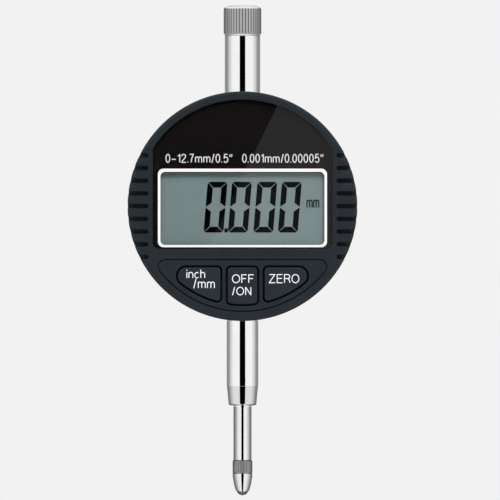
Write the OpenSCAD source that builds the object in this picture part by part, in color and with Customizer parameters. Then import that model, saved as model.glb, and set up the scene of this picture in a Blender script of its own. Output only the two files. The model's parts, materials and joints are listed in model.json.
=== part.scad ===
// Digital dial indicator, 12.7 mm stroke, with an 8 mm clamping stem and a lug back.
// Axes: +Z runs up the spindle, the display faces -Y and +X is to the reader's right.
// Origin: on the spindle axis, halfway along the stem's clamping cylinder.
// Heights in the case are counted from the case's own centre, at z = case_z.

/* [Case] */
// Case diameter (mm)
case_d = 57; // [56:0.5:60]
// Side wall of the case (mm)
case_wall = 2.0; // [1.6:0.1:2.2]
// Case front face to spindle axis (mm)
front_depth = 12.0; // [11.6:0.1:13]
// Spindle axis to the joint with the rear cover (mm)
rear_depth = 7.0; // [6.8:0.1:9]
// Grip slots on each side of the case
slots_per_side = 9; // [5:2:9]
// Distance between grip slots (mm)
slot_pitch = 3.15; // [2.6:0.05:3.2]
// Height of one grip slot (mm)
slot_h = 1.1; // [0.8:0.1:1.4]

/* [Window and display] */
// Radius of the window's arched top (mm)
window_r = 26.4; // [26:0.1:26.4]
// Window width between its straight sides (mm)
window_w = 44.4; // [43.6:0.1:45]
// Case centre down to the window's lower edge (mm)
window_drop = 10.5; // [10.3:0.1:11]
// Visible display width (mm)
view_w = 41.6; // [38:0.2:42]
// Visible display height (mm)
view_h = 19.0; // [16:0.2:19.4]

/* [Keys] */
// Width of the middle key (mm)
mid_key_w = 7.5; // [6.5:0.1:7.6]
// Inner edge of the side keys from the centre line (mm)
side_key_in = 5.4; // [5.3:0.1:6]
// Radius of the side keys' round outer ends (mm)
key_end_r = 2.2; // [1.6:0.1:2.4]
// Key stroke (mm)
key_stroke = 0.4; // [0.2:0.1:0.4]

/* [Stem and spindle] */
// Clamping stem diameter (mm)
stem_d = 8.0; // [8:0.01:9.53]
// Length of the clamping cylinder below the case (mm)
stem_len = 16.3; // [12:0.1:20]
// Spindle diameter (mm)
spindle_d = 4.5; // [4.3:0.1:4.6]
// Measuring stroke (mm)
stroke = 12.7; // [10:0.1:12.7]
// Diameter of the contact ball (mm)
ball_d = 3.0; // [2:0.1:3]

/* [Top tube and cap] */
// Diameter of the tube above the case (mm)
tube_d = 8.95; // [8.6:0.05:9.2]
// Height of the tube above the case (mm)
tube_len = 13.7; // [13:0.1:16]
// Outside diameter of the knurled cap (mm)
cap_d = 9.4; // [9.3:0.1:10]

/* [Rear cover and lug] */
// Thickness of the rear cover (mm)
cover_t = 2.5; // [2.4:0.1:3]
// Thickness of the lug (mm)
lug_t = 5.0; // [4:0.1:6.4]
// Diameter of the lug hole (mm)
lug_hole_d = 6.5; // [5:0.1:6.5]
// Rounded end radius of the lug (mm)
lug_r = 6.5; // [5.5:0.1:7]

/* [Output] */
// Part to build

/* [Hidden] */
$fn = 96;

case_r = case_d / 2;
case_z = case_r + stem_len / 2;
inner_r = case_r - case_wall;
edge_r = 0.8;

// Depths along Y, from the front to the back of the case.
front_y = -front_depth;
lens_y = front_y + 0.1;
lens_t = 1.2;
mask_y = lens_y + lens_t;
mask_t = 0.2;
ledge_y = mask_y + mask_t;
wall_y = front_y + 2.6;
glass_y = wall_y + 0.1;
glass_t = 0.9;
glass_mid = glass_y + glass_t;
glass_back = glass_mid + 1.0;
board_y = glass_back + 1.7;
board_t = 1.2;
board_back = board_y + board_t;
slider_y = board_back + 0.3;
slider_t = 0.8;
clamp_y = slider_y + slider_t;
clamp_back = 3.2;
shell_back = rear_depth;
cover_back = shell_back + cover_t;

// Display stack, centred a little below the case's centre.
view_z = -0.34;
glass_w = 44.0;
glass_h = 21.5;
back_glass_h = 17.6;
holder_w = 46.4;
holder_h = 23.6;
zebra_h = 1.6;
zebra_z = (glass_h + back_glass_h) / 4;

// Grip slots and the fine groove around the keys.
slot_start = 23.3;
slot_depth = 1.6;
side_groove = 0.8;
side_groove_len = 6;
pad_r = 26.1;
pad_top = -13.25;
pad_corner = 1.8;
pad_groove = 0.3;
pad_groove_depth = 0.25;

// Keys, held behind the case front by a flange.
key_top = -15.1;
key_arc = 24.4;
key_gap = 0.4;
key_flange = 0.7;
key_proud = 0.3;
key_fillet = 0.9;
flange_y = wall_y + 0.05;
flange_t = 0.75;
plunger_r = 1.2;
dome_r = 2.5;
dome_h = 0.5;
mid_key_z = -19.6;
side_key_out = key_end_r + sqrt(pow(key_arc - key_end_r, 2) - pow(key_top - key_end_r, 2));
side_key_x = (side_key_in + side_key_out) / 2;
side_key_z = -18.4;

// Screw positions: the frame with the board, and the rear cover.
post_top = [13.5, 17.5];
post_low = [19.4, -14.6];
post_r = 1.7;
cover_screw_at = 17.1;
cover_boss_r = 2.5;
thread_r = 0.95;
thread_hole_r = 1.0;
clear_hole_r = 1.05;
screw_head_r = 1.8;
screw_head_h = 1.1;

// Metal frame behind the board.
frame_t = 2.0;
frame_back = board_back + frame_t;
boss_back = 4.6;
boss_in = 19.0;
boss_out = case_r - 3.0;
boss_half_w = 6.0;
frame_open = 8.0;
spigot_r = 3.5;
spigot_in = boss_in + 0.5;

// Spindle line.
fit_gap = 0.02;
run_gap = 0.03;
free_gap = 0.35;
spindle_r = spindle_d / 2;
stem_r = stem_d / 2;
tube_r = tube_d / 2;
stem_end = -case_r - stem_len;
nose_len = 4.8;
nose_end = stem_end - nose_len;
nose_tip_r = 3.35;
nose_fillet = 0.4;
bush_r = 3.0;
lower_bush_top = stem_end + 14.5;
spindle_low = nose_end - stroke - 0.9;
spindle_top = case_r + 4.5;
tube_top = case_r + tube_len;
tube_bore_r = 2.8;
upper_bush_len = 8.5;

// Cap.
cap_r = cap_d / 2;
cap_flare = 0.8;
cap_crown = 0.8;
cap_len = 7.9;
cap_top = tube_top + cap_len;
neck_r = 3.8;
neck_len = 4.6;
cap_flutes = 38;
flute_depth = 0.2;
cap_root_r = cap_r - flute_depth - 0.04;

// Slider on the spindle, and its guide.
clamp_low = -17.9;
clamp_h = 8.0;
clamp_half_w = 4.5;
slider_half_w = 7.0;
slider_h = 20.0;
guide_pin_r = 1.0;
guide_pin_z = clamp_low + clamp_h / 2;
rail_y = boss_back;
rail_t = 1.0;
rail_half_w = 4.6;
rail_len = 49.0;
rail_screw_z = 22.2;
bumper_t = 1.0;

// Return spring around the spindle.
spring_r = 2.78;
spring_wire = 0.34;
spring_turns = 15;
spring_steps = 20;
spring_low = clamp_low + clamp_h;
spring_len = boss_in - spring_low;

// Contact point.
point_r = 2.48;
collar_len = 3.4;
cone_len = 4.4;
cone_tip_r = 1.42;
ball_out = 1.0;
point_teeth = 32;
point_flute = 0.08;
stub_r = 1.2;
stub_len = 5.0;

// Button cell in a pocket of the rear cover, behind a sliding door.
cell_x = 14.0;
cell_r = 5.8;
cell_h = 5.4;
cell_back = shell_back + 0.8;
cell_front = cell_back - cell_h;
pocket_r = cell_r + 0.3;
pocket_wall = 1.0;
pocket_floor = cell_front - 1.8;
pocket_floor_t = 0.8;
door_floor = shell_back + 1.0;
door_x = 6.6;
door_half_h = 8.4;
tongue = 0.8;
tongue_t = 0.65;
door_gap = 0.1;
grip_lines = 6;

lug_y = cover_back + 6.6;

slate = [0.18, 0.2, 0.22];
jet = [0.06, 0.06, 0.06];
clear = [0.75, 0.8, 0.82, 0.35];
steel = [0.78, 0.79, 0.8];
satin = [0.62, 0.62, 0.61];
zinc = [0.6, 0.61, 0.62];
bronze = [0.72, 0.53, 0.3];
tin = [0.75, 0.74, 0.7];

// ---- Shared shapes ----

// Extrudes a shape drawn in X and Z about the case centre, from depth y0 to y1.
module slab(y0, y1) {
    translate([0, y1, case_z])
        rotate([90, 0, 0])
            linear_extrude(height = y1 - y0) children();
}

// Turns a profile drawn as radius and depth Y about the case's front-to-back axis.
module turned_case() {
    translate([0, 0, case_z])
        rotate([-90, 0, 0])
            rotate_extrude() children();
}

// Turns a profile drawn as radius and height about the spindle axis.
module turned_spindle() {
    translate([0, 0, case_z])
        rotate_extrude() children();
}

// Round peg along Y at the given place on the case.
module peg(x, z, y0, y1, r) {
    translate([x, y0, case_z + z])
        rotate([-90, 0, 0])
            cylinder(r = r, h = y1 - y0);
}

// Rectangle with four equal round corners, given by its sides.
module round_rect(x0, x1, z0, z1, r) {
    translate([x0 + r, z0])
        square([x1 - x0 - 2 * r, z1 - z0]);
    translate([x0, z0 + r])
        square([x1 - x0, z1 - z0 - 2 * r]);
    for (x = [x0 + r, x1 - r], z = [z0 + r, z1 - r])
        translate([x, z])
            circle(r = r);
}

// Rectangle of the given size about the middle of the display.
module view_rect(w, h, r) {
    round_rect(-w / 2, w / 2, view_z - h / 2, view_z + h / 2, r);
}

// Block about the spindle axis.
module block(x0, x1, y0, y1, z0, z1) {
    translate([x0, y0, case_z + z0])
        cube([x1 - x0, y1 - y0, z1 - z0]);
}

// Cross-section of a straight knurl.
module fluted_disc(r, depth, teeth) {
    polygon([for (i = [0 : 2 * teeth - 1])
        let (a = 180 * i / teeth, q = (i % 2 == 0) ? r : r - depth)
        [q * cos(a), q * sin(a)]]);
}

// Outline of the glossy window: an arch over straight sides.
module window_outline(grow) {
    intersection() {
        circle(r = window_r + grow);
        round_rect(-window_w / 2 - grow, window_w / 2 + grow,
            -window_drop - grow, case_r + 5, 1.5 + grow);
    }
}

// Flat top edge over an arc of radius r about the case's centre, with round ends of radius f.
module arc_panel(r, top, f) {
    cz = top - f;
    cx = sqrt(pow(r - f, 2) - pow(cz, 2));
    far = (r + 2) / (r - f);
    difference() {
        intersection() {
            circle(r = r);
            translate([-r - 1, -r - 1])
                square([2 * r + 2, top + r + 1]);
        }
        for (s = [-1, 1])
            polygon([[s * cx, cz], [s * cx, top + 1], [s * (r + 2), top + 1],
                [s * cx * far, cz * far]]);
    }
    for (s = [-1, 1])
        translate([s * cx, cz])
            circle(r = f);
}

// Outline of the area around the keys.
module pad_outline(grow) {
    arc_panel(pad_r + grow, pad_top + grow, pad_corner + grow);
}

// Height of the centre of a corner circle of radius f that touches the arc of radius r inside.
function corner_z(cx, f, r) = -sqrt(pow(r - f, 2) - pow(cx, 2));

// What is cut off where an upright edge on side s meets the arc, before its corner circle.
module corner_cut(cx, f, r, s) {
    cz = corner_z(cx, f, r);
    far = (r + 1) / (r - f);
    polygon([[cx, cz], [cx + s * (f + 1), cz], [cx + s * (f + 1), -r - 1],
        [cx * far, cz * far]]);
}

module mid_key_shape(grow) {
    r = key_arc + grow;
    f = key_fillet + grow;
    half = mid_key_w / 2;
    cx = half - key_fillet;
    difference() {
        intersection() {
            circle(r = r);
            round_rect(-half - grow, half + grow, -case_r - 4, key_top + grow, f);
        }
        for (s = [-1, 1])
            corner_cut(s * cx, f, r, s);
    }
    for (s = [-1, 1])
        translate([s * cx, corner_z(cx, f, r)])
            circle(r = f);
}

module side_key_shape(side, grow) {
    r = key_arc + grow;
    f = key_fillet + grow;
    cx = side_key_in + key_fillet;
    mirror([side < 0 ? 1 : 0, 0]) {
        difference() {
            intersection() {
                arc_panel(r, key_top + grow, key_end_r + grow);
                round_rect(side_key_in - grow, case_r + 4, -case_r - 4, key_top + grow, f);
            }
            corner_cut(cx, f, r, -1);
        }
        translate([cx, corner_z(cx, f, r)])
            circle(r = f);
    }
}

// Key body: the cap through the case front, its flange and the plunger.
module key_solid(x, z) {
    slab(front_y - key_proud, flange_y + flange_t)
        children(0);
    slab(flange_y, flange_y + flange_t)
        children(1);
    peg(x, z, flange_y, board_y - dome_h - 0.1, plunger_r);
}

// Round profile of the snap dome: a shallow cup over the board.
module dome_solid(x, z) {
    translate([x, 0, case_z + z])
        rotate([-90, 0, 0])
            rotate_extrude()
                polygon([[0, board_y - dome_h], [1.3, board_y - dome_h + 0.05],
                    [dome_r, board_y - 0.12], [dome_r, board_y], [dome_r - 0.25, board_y],
                    [1.2, board_y - dome_h + 0.2], [0, board_y - dome_h + 0.15]]);
}

// Screw along Y, head towards the back, with a cross recess.
module screw(x, z, seat_y, shank) {
    difference() {
        union() {
            peg(x, z, seat_y, seat_y + screw_head_h, screw_head_r);
            peg(x, z, seat_y - shank, seat_y, thread_r);
        }
        for (turn = [0, 90])
            translate([x, seat_y + screw_head_h, case_z + z])
                rotate([0, turn, 0])
                    cube([2.2, 1.0, 0.45], center = true);
    }
}

// ---- Case front ----

module grip_slot_shapes() {
    half = (slots_per_side - 1) / 2;
    for (side = [-1, 1], i = [-half : half])
        translate([side * (slot_start + slot_h / 2), i * slot_pitch]) {
            circle(r = slot_h / 2);
            translate([side > 0 ? 0 : -10, -slot_h / 2])
                square([10, slot_h]);
        }
}

module shell_profile() {
    difference() {
        union() {
            translate([0, front_y])
                square([case_r - edge_r, shell_back - front_y]);
            translate([0, front_y + edge_r])
                square([case_r, shell_back - front_y - edge_r]);
            translate([case_r - edge_r, front_y + edge_r])
                circle(r = edge_r);
        }
        translate([-1, wall_y])
            square([inner_r + 1, shell_back - wall_y + 1]);
        translate([-1, front_y - 1])
            square([1, shell_back - front_y + 2]);
    }
}

module front_shell() {
    color(slate)
    difference() {
        union() {
            turned_case() shell_profile();
            for (s = [-1, 1], p = [post_top, post_low])
                peg(s * p[0], p[1], wall_y - 0.5, board_y, post_r);
            for (sx = [-1, 1], sz = [-1, 1])
                peg(sx * cover_screw_at, sz * cover_screw_at, 0.3, shell_back - 1, cover_boss_r);
        }
        slab(front_y - 1, ledge_y) window_outline(0.1);
        slab(front_y, wall_y + 1) view_rect(view_w + 0.8, view_h + 0.8, 1.6);
        slab(front_y - 1, wall_y + 1) {
            mid_key_shape(key_gap);
            side_key_shape(-1, key_gap);
            side_key_shape(1, key_gap);
        }
        slab(front_y - 1, front_y + slot_depth) grip_slot_shapes();
        slab(front_y - 1, front_y + side_groove_len)
            difference() {
                grip_slot_shapes();
                circle(r = case_r - side_groove);
            }
        slab(front_y - 1, front_y + pad_groove_depth)
            difference() {
                pad_outline(pad_groove / 2);
                pad_outline(-pad_groove / 2);
            }
        for (s = [-1, 1], p = [post_top, post_low])
            peg(s * p[0], p[1], board_y - 3.2, board_y + 1, thread_hole_r);
        for (sx = [-1, 1], sz = [-1, 1])
            peg(sx * cover_screw_at, sz * cover_screw_at, 1.2, shell_back, thread_hole_r);
        translate([0, 0, case_z - case_r - 1])
            cylinder(r = stem_r + 0.05, h = 6);
        translate([0, 0, case_z + case_r - 5])
            cylinder(r = tube_r + 0.05, h = 6);
    }
}

module window_lens() {
    color(clear)
    slab(lens_y, mask_y) window_outline(0);
}

module window_mask() {
    color(jet)
    slab(mask_y, ledge_y)
        difference() {
            window_outline(0);
            view_rect(view_w, view_h, 1.2);
        }
}

// ---- Display and board ----

module lcd_panel() {
    color([0.48, 0.52, 0.52]) {
        slab(glass_y, glass_mid) view_rect(glass_w, glass_h, 0.3);
        slab(glass_mid, glass_back) view_rect(glass_w, back_glass_h, 0.3);
    }
}

module lcd_holder() {
    color([0.12, 0.12, 0.13]) {
        slab(wall_y, board_y)
            difference() {
                view_rect(holder_w, holder_h, 3);
                view_rect(glass_w + 0.2, glass_h + 0.2, 0.4);
            }
        for (s = [-1, 1])
            slab(glass_back + 0.05, board_y)
                translate([-glass_w / 2 - 0.5, view_z + s * 8.4 - 0.4])
                    square([glass_w + 1, 0.8]);
    }
}

module zebra_strips() {
    color([0.85, 0.55, 0.5])
    for (s = [-1, 1])
        slab(glass_mid, board_y)
            translate([-20.5, view_z + s * zebra_z - zebra_h / 2])
                square([41, zebra_h]);
}

module main_board() {
    color([0.08, 0.3, 0.16])
    difference() {
        slab(board_y, board_back)
            difference() {
                circle(r = case_r - 2.6);
                for (s = [-1, 1])
                    translate([-6.5, s > 0 ? 24.6 : -30])
                        square([13, 5.4]);
            }
        for (s = [-1, 1], p = [post_top, post_low])
            peg(s * p[0], p[1], board_y - 1, board_back + 1, clear_hole_r);
    }
}

module controller_chip() {
    color([0.03, 0.03, 0.035])
    translate([0, 0, case_z - 1])
        rotate([-90, 0, 0])
            rotate_extrude()
                polygon([[0, board_y - 1.1], [1.5, board_y - 1.05], [3.2, board_y - 0.8],
                    [4.3, board_y - 0.4], [4.7, board_y], [0, board_y]]);
}

module board_components() {
    color([0.55, 0.45, 0.3])
    for (p = [[-13, 3, 2.0, 1.2], [-13, -1, 2.0, 1.2], [-9, -4.5, 1.2, 2.0], [11, 4, 2.0, 1.2],
        [11, 1, 2.0, 1.2], [14.5, -3.5, 6.0, 2.2]])
        block(p[0] - p[2] / 2, p[0] + p[2] / 2, board_y - 0.7, board_y,
            p[1] - p[3] / 2, p[1] + p[3] / 2);
}

// ---- Keys ----

module key_left() {
    color(slate)
    key_solid(-side_key_x, side_key_z) {
        side_key_shape(-1, 0);
        side_key_shape(-1, key_flange);
    }
}

module key_middle() {
    color(slate)
    key_solid(0, mid_key_z) {
        mid_key_shape(0);
        mid_key_shape(key_flange);
    }
}

module key_right() {
    color(slate)
    key_solid(side_key_x, side_key_z) {
        side_key_shape(1, 0);
        side_key_shape(1, key_flange);
    }
}

module switch_dome_left() {
    color(tin)
    dome_solid(-side_key_x, side_key_z);
}

module switch_dome_middle() {
    color(tin)
    dome_solid(0, mid_key_z);
}

module switch_dome_right() {
    color(tin)
    dome_solid(side_key_x, side_key_z);
}

// ---- Frame ----

module frame_outline() {
    for (s = [-1, 1]) {
        translate([s > 0 ? frame_open : -frame_open - 3.5, -boss_out + 2])
            square([3.5, 2 * boss_out - 4]);
        translate([s > 0 ? frame_open : -post_top[0], post_top[1] - 2])
            square([post_top[0] - frame_open, 4]);
        translate([s * post_top[0], post_top[1]])
            circle(r = 2);
        translate([s > 0 ? frame_open : -post_low[0], post_low[1] - 2])
            square([post_low[0] - frame_open, 4]);
        translate([s * post_low[0], post_low[1]])
            circle(r = 2);
    }
    for (z = [-boss_out + 2, boss_in])
        translate([-frame_open, z])
            square([2 * frame_open, boss_out - boss_in - 2]);
}

module chassis_frame() {
    color(zinc)
    difference() {
        union() {
            slab(board_back, frame_back) frame_outline();
            block(-boss_half_w, boss_half_w, board_back, boss_back, -boss_out, -boss_in);
            block(-boss_half_w, boss_half_w, board_back, boss_back, boss_in, boss_out);
        }
        for (s = [-1, 1], p = [post_top, post_low])
            peg(s * p[0], p[1], board_back - 1, frame_back + 1, clear_hole_r);
        for (z = [-boss_out - 1, boss_in - 1])
            translate([0, 0, case_z + z])
                cylinder(r = spigot_r + fit_gap, h = boss_out - boss_in + 2);
        for (s = [-1, 1])
            for (x = [-1, 1])
                peg(x * 4.75, s * rail_screw_z, boss_back - 3.2, boss_back + 1, thread_hole_r * 0.7);
    }
}

module frame_screws() {
    color(steel)
    for (s = [-1, 1], p = [post_top, post_low])
        screw(s * p[0], p[1], frame_back, 6.0);
}

// ---- Stem, tube and cap ----

module stem() {
    color(steel)
    turned_spindle()
        polygon([[bush_r + fit_gap, stem_end], [stem_r, stem_end], [stem_r, -case_r],
            [stem_r - 0.2, -case_r], [stem_r - 0.2, -boss_out], [spigot_r, -boss_out],
            [spigot_r, -spigot_in],
            [spindle_r + free_gap, -spigot_in], [spindle_r + free_gap, lower_bush_top],
            [bush_r + fit_gap, lower_bush_top]]);
}

module lower_bush() {
    color(satin)
    turned_spindle() {
        difference() {
            union() {
                polygon([[spindle_r + run_gap, nose_end], [nose_tip_r - nose_fillet, nose_end],
                    [nose_tip_r - nose_fillet, nose_end + nose_fillet],
                    [nose_tip_r, nose_end + nose_fillet], [stem_r - 0.06, stem_end], [bush_r, stem_end],
                    [bush_r, lower_bush_top], [spindle_r + run_gap, lower_bush_top]]);
                translate([nose_tip_r - nose_fillet, nose_end + nose_fillet])
                    circle(r = nose_fillet);
            }
            translate([0, nose_end - 1])
                square([spindle_r + run_gap, lower_bush_top - nose_end + 2]);
        }
    }
}

module upper_tube() {
    color(steel)
    turned_spindle()
        polygon([[tube_bore_r, spigot_in], [spigot_r, spigot_in], [spigot_r, boss_out],
            [tube_r, boss_out], [tube_r, tube_top], [neck_r, tube_top],
            [neck_r, tube_top + neck_len], [tube_bore_r, tube_top + neck_len]]);
}

module upper_bush() {
    color(bronze)
    turned_spindle()
        polygon([[spindle_r + run_gap, spigot_in], [tube_bore_r - fit_gap, spigot_in],
            [tube_bore_r - fit_gap, spigot_in + upper_bush_len],
            [spindle_r + run_gap, spigot_in + upper_bush_len]]);
}

module dust_cap() {
    color(satin)
    difference() {
        union() {
            turned_spindle()
                polygon([[0, tube_top], [tube_r - 0.05, tube_top],
                    [cap_root_r, tube_top + cap_flare], [cap_root_r, tube_top + cap_flare + 0.2],
                    [0, tube_top + cap_flare + 0.2]]);
            translate([0, 0, case_z + tube_top + cap_flare + 0.2])
                linear_extrude(height = cap_len - cap_flare - cap_crown - 0.2)
                    fluted_disc(cap_r, flute_depth, cap_flutes);
            turned_spindle()
                polygon([[0, cap_top - cap_crown], [cap_root_r, cap_top - cap_crown],
                    [cap_root_r - 0.05, cap_top - 0.45], [cap_root_r - 0.5, cap_top],
                    [0, cap_top]]);
        }
        translate([0, 0, case_z + tube_top - 1])
            cylinder(r = neck_r + fit_gap, h = neck_len + 1.2);
        translate([0, 0, case_z + tube_top])
            cylinder(r = tube_bore_r + 0.2, h = cap_len - 1.4);
    }
}

// ---- Spindle and what it carries ----

module spindle() {
    color(steel)
    turned_spindle()
        polygon([[0, spindle_low + stub_len + 1.2], [1.25, spindle_low + stub_len + 0.8],
            [1.25, spindle_low], [spindle_r, spindle_low], [spindle_r, spindle_top - 0.4],
            [spindle_r - 0.4, spindle_top], [0, spindle_top]]);
}

module slider_clamp() {
    color(zinc)
    difference() {
        block(-clamp_half_w, clamp_half_w, clamp_y, clamp_back, clamp_low, clamp_low + clamp_h);
        translate([0, 0, case_z + clamp_low - 1])
            cylinder(r = spindle_r + fit_gap, h = clamp_h + 2);
        peg(0, guide_pin_z, 0, clamp_back + 1, guide_pin_r + fit_gap);
    }
}

module slider_board() {
    color([0.1, 0.34, 0.18])
    block(-slider_half_w, slider_half_w, slider_y, clamp_y, clamp_low, clamp_low + slider_h);
}

module guide_pin() {
    color(steel)
    peg(0, guide_pin_z, spindle_r + 0.05, rail_y + rail_t + 0.2, guide_pin_r);
}

module guide_rail() {
    color(satin)
    difference() {
        slab(rail_y, rail_y + rail_t)
            difference() {
                round_rect(-rail_half_w - 2, rail_half_w + 2, -rail_len / 2, rail_len / 2, 1.2);
                for (s = [-1, 1])
                    translate([s > 0 ? rail_half_w - 1.2 : -rail_half_w - 4, -boss_in])
                        square([5.2, 2 * boss_in]);
                round_rect(-guide_pin_r - 0.05, guide_pin_r + 0.05, guide_pin_z - 1.6,
                    guide_pin_z + stroke + 1.4, 1.0);
            }
        for (s = [-1, 1], x = [-1, 1])
            peg(x * 4.75, s * rail_screw_z, rail_y - 1, rail_y + rail_t + 1, 0.8);
    }
}

module rail_screws() {
    color(steel)
    for (s = [-1, 1], x = [-1, 1]) {
        peg(x * 4.75, s * rail_screw_z, rail_y + rail_t, rail_y + rail_t + 0.8, 1.3);
        peg(x * 4.75, s * rail_screw_z, rail_y - 2.8, rail_y + rail_t, 0.65);
    }
}

module stroke_bumper() {
    color(jet)
    translate([0, 0, case_z - boss_in])
        difference() {
            cylinder(r = 4, h = bumper_t);
            translate([0, 0, -1])
                cylinder(r = spindle_r + free_gap, h = bumper_t + 2);
        }
}

// Height of the spring wire's centre after t turns: close-wound ends, open middle.
function coil_z(t) =
    let (pitch = spring_wire * 1.1, rest = spring_len - spring_wire - 2 * pitch)
    (t < 1) ? pitch * t
    : (t > spring_turns - 1) ? spring_len - spring_wire - pitch * (spring_turns - t)
    : pitch + rest * (t - 1) / (spring_turns - 2);

module return_spring() {
    sides = 6;
    count = spring_turns * spring_steps;
    wire = spring_wire / 2;
    points = [for (i = [0 : count], k = [0 : sides - 1])
        let (a = 360 * i / spring_steps, b = 360 * k / sides, q = spring_r + wire * cos(b))
        [q * cos(a), q * sin(a), wire + coil_z(i / spring_steps) + wire * sin(b)]];
    skin = [for (i = [0 : count - 1], k = [0 : sides - 1])
        let (n = (k + 1) % sides)
        [i * sides + k, i * sides + n, (i + 1) * sides + n, (i + 1) * sides + k]];
    first = [[for (k = [0 : sides - 1]) sides - 1 - k]];
    last = [[for (k = [0 : sides - 1]) count * sides + k]];
    color(steel)
    translate([0, 0, case_z + spring_low])
        polyhedron(points = points, faces = concat(skin, first, last), convexity = 10);
}

module contact_point() {
    top = spindle_low;
    shoulder = top - collar_len;
    color(satin) {
        difference() {
            union() {
                translate([0, 0, case_z + shoulder + 0.25])
                    linear_extrude(height = collar_len - 0.5)
                        fluted_disc(point_r, point_flute, point_teeth);
                turned_spindle()
                    polygon([[0, shoulder - cone_len], [cone_tip_r, shoulder - cone_len],
                        [cone_tip_r + 0.08, shoulder - cone_len + 0.1], [point_r - 0.1, shoulder],
                        [point_r - 0.1, shoulder + 0.25], [0, shoulder + 0.25]]);
                turned_spindle()
                    polygon([[0, top - 0.25], [point_r - 0.1, top - 0.25], [point_r - 0.25, top],
                        [stub_r, top], [stub_r, top + stub_len - 0.3],
                        [stub_r - 0.3, top + stub_len], [0, top + stub_len]]);
            }
            translate([0, 0, case_z + shoulder - cone_len - ball_out + ball_d / 2])
                sphere(r = ball_d / 2 + fit_gap);
        }
    }
}

module contact_ball() {
    color([0.2, 0.2, 0.21])
    translate([0, 0, case_z + spindle_low - collar_len - cone_len - ball_out + ball_d / 2])
        sphere(r = ball_d / 2);
}

// ---- Rear cover, lug and battery ----

// Solid of the rear cover's outer form, with a rounded back edge.
module cover_blank() {
    turned_case() {
        translate([0, shell_back])
            square([case_r - edge_r, cover_t]);
        translate([0, shell_back])
            square([case_r, cover_t - edge_r]);
        intersection() {
            translate([case_r - edge_r, cover_back - edge_r])
                circle(r = edge_r);
            translate([0, shell_back])
                square([case_r + 1, cover_t + 1]);
        }
    }
}

module lug_profile() {
    difference() {
        union() {
            translate([lug_y, 0])
                circle(r = lug_r);
            translate([cover_back - 0.5, -lug_r])
                square([lug_y - cover_back + 0.5, 2 * lug_r]);
        }
        translate([lug_y, 0])
            circle(r = lug_hole_d / 2);
    }
}

module rear_cover() {
    color(slate)
    difference() {
        union() {
            cover_blank();
            translate([0, 0, case_z])
                turned_spigot();
            for (sx = [-1, 1], sz = [-1, 1])
                peg(sx * cover_screw_at, sz * cover_screw_at, shell_back - 1, shell_back + 0.5,
                    cover_boss_r);
            peg(cell_x, 0, pocket_floor, shell_back + 0.5, pocket_r + pocket_wall);
            translate([-lug_t / 2, 0, case_z])
                rotate([90, 0, 90])
                    linear_extrude(height = lug_t) lug_profile();
        }
        peg(cell_x, 0, pocket_floor + pocket_floor_t, cover_back + 1, pocket_r);
        block(door_x, case_r + 1, door_floor, cover_back + 1,
            -door_half_h - door_gap, door_half_h + door_gap);
        block(door_x, case_r + 1, door_floor, door_floor + tongue_t + 2 * door_gap,
            -door_half_h - tongue - door_gap, door_half_h + tongue + door_gap);
        block(cell_x - 0.45, cell_x + 0.45, pocket_floor - 1, pocket_floor + 2, -1.7, 1.7);
        block(cell_x + pocket_r - 0.1, cell_x + pocket_r + 0.5, pocket_floor - 1, door_floor + 0.1,
            -1.7, 1.7);
        for (sx = [-1, 1], sz = [-1, 1]) {
            peg(sx * cover_screw_at, sz * cover_screw_at, shell_back - 2, cover_back + 1,
                clear_hole_r);
            peg(sx * cover_screw_at, sz * cover_screw_at, cover_back - screw_head_h - 0.1,
                cover_back + 1, screw_head_r + 0.2);
        }
    }
}

// Ring that centres the cover inside the case wall.
module turned_spigot() {
    rotate([-90, 0, 0])
        rotate_extrude()
            translate([inner_r - 1.7, shell_back - 1])
                square([1.6, 1.5]);
}

module rear_cover_screws() {
    color(steel)
    for (sx = [-1, 1], sz = [-1, 1])
        screw(sx * cover_screw_at, sz * cover_screw_at, cover_back - screw_head_h - 0.1, 5.5);
}

module battery_cell() {
    color(steel)
    translate([cell_x, 0, case_z])
        rotate([-90, 0, 0])
            rotate_extrude()
                polygon([[0, cell_front], [4.6, cell_front], [4.75, cell_front + 0.2],
                    [4.75, cell_front + 0.7], [cell_r - 0.4, cell_front + 0.8],
                    [cell_r, cell_front + 1.3], [cell_r, cell_back - 0.3],
                    [cell_r - 0.3, cell_back], [0, cell_back]]);
}

module battery_contact_minus() {
    color(tin) {
        block(cell_x - 0.15, cell_x + 0.15, board_back, cell_front - 0.5, -1.5, 1.5);
        block(cell_x - 3.2, cell_x + 0.15, cell_front - 0.5, cell_front - 0.25, -1.5, 1.5);
        block(cell_x - 3.2, cell_x - 2.2, cell_front - 0.3, cell_front, -1.0, 1.0);
    }
}

module battery_contact_plus() {
    color(tin) {
        block(cell_x + pocket_r, cell_x + pocket_r + 0.3, board_back, cell_back - 1.2, -1.5, 1.5);
        block(cell_x + cell_r + 0.02, cell_x + pocket_r + 0.1, cell_back - 2.4, cell_back - 1.8,
            -1.0, 1.0);
    }
}

module battery_door() {
    color(slate)
    difference() {
        intersection() {
            cover_blank();
            union() {
                block(door_x + door_gap, case_r + 1, door_floor + door_gap, cover_back + 1,
                    -door_half_h, door_half_h);
                block(door_x + door_gap, case_r + 1, door_floor + door_gap,
                    door_floor + door_gap + tongue_t, -door_half_h - tongue, door_half_h + tongue);
            }
        }
        for (i = [0 : grip_lines - 1])
            block(18 + 1.2 * i, 18.5 + 1.2 * i, cover_back - 0.3, cover_back + 1, -4.5, 4.5);
    }
}

// ---- Build ----

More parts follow.
